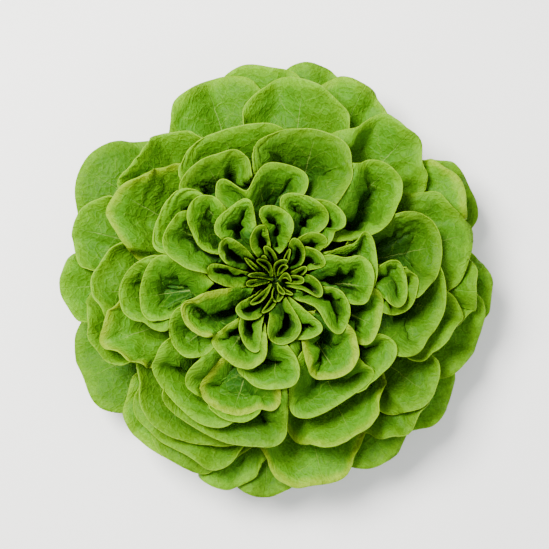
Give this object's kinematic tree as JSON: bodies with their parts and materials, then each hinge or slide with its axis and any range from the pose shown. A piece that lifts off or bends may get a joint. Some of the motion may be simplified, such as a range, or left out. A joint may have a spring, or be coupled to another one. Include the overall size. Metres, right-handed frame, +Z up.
{
  "type": "butterhead lettuce",
  "caption": "Open head of butterhead lettuce: broad cupped leaves with rolled, waved rims round a folded heart, on a short cut stem.",
  "frame": {"origin": "centre of the flat cut face under the stem, on the axis of the head", "axes": "+Z up through the growing point; +Y is the top of the picture and +X its right"},
  "size_m": [0.2705, 0.273, 0.0988],
  "materials": {
    "leaf_green": "satin leaf",
    "heart_green": "satin young leaf",
    "stem_pale": "moist cut stem"
  },
  "bodies": {
    "root": {"heart": "heart_green", "middle_leaf_01": "leaf_green", "middle_leaf_02": "leaf_green", "middle_leaf_03": "leaf_green", "middle_leaf_04": "leaf_green", "middle_leaf_05": "leaf_green", "middle_leaf_06": "leaf_green", "middle_leaf_07": "leaf_green", "middle_leaf_08": "leaf_green", "middle_leaf_09": "leaf_green", "middle_leaf_10": "leaf_green", "middle_leaf_11": "leaf_green", "middle_leaf_12": "leaf_green", "middle_leaf_13": "leaf_green", "middle_leaf_14": "leaf_green", "outer_leaf_01": "leaf_green", "outer_leaf_02": "leaf_green", "outer_leaf_03": "leaf_green", "outer_leaf_04": "leaf_green", "outer_leaf_05": "leaf_green", "outer_leaf_06": "leaf_green", "outer_leaf_07": "leaf_green", "outer_leaf_08": "leaf_green", "outer_leaf_09": "leaf_green", "outer_leaf_10": "leaf_green", "outer_leaf_11": "leaf_green", "outer_leaf_12": "leaf_green", "outer_leaf_13": "leaf_green", "outer_leaf_14": "leaf_green", "outer_leaf_15": "leaf_green", "outer_leaf_16": "leaf_green", "outer_leaf_17": "leaf_green", "stem": "stem_pale", "wrapper_leaf_01": "leaf_green", "wrapper_leaf_02": "leaf_green", "wrapper_leaf_03": "leaf_green", "wrapper_leaf_04": "leaf_green", "wrapper_leaf_05": "leaf_green", "wrapper_leaf_06": "leaf_green", "wrapper_leaf_07": "leaf_green", "wrapper_leaf_08": "leaf_green", "wrapper_leaf_09": "leaf_green", "wrapper_leaf_10": "leaf_green", "wrapper_leaf_11": "leaf_green", "wrapper_leaf_12": "leaf_green", "wrapper_leaf_13": "leaf_green", "wrapper_leaf_14": "leaf_green", "wrapper_leaf_15": "leaf_green", "wrapper_leaf_16": "leaf_green", "wrapper_leaf_17": "leaf_green"}
  },
  "joints": []
}
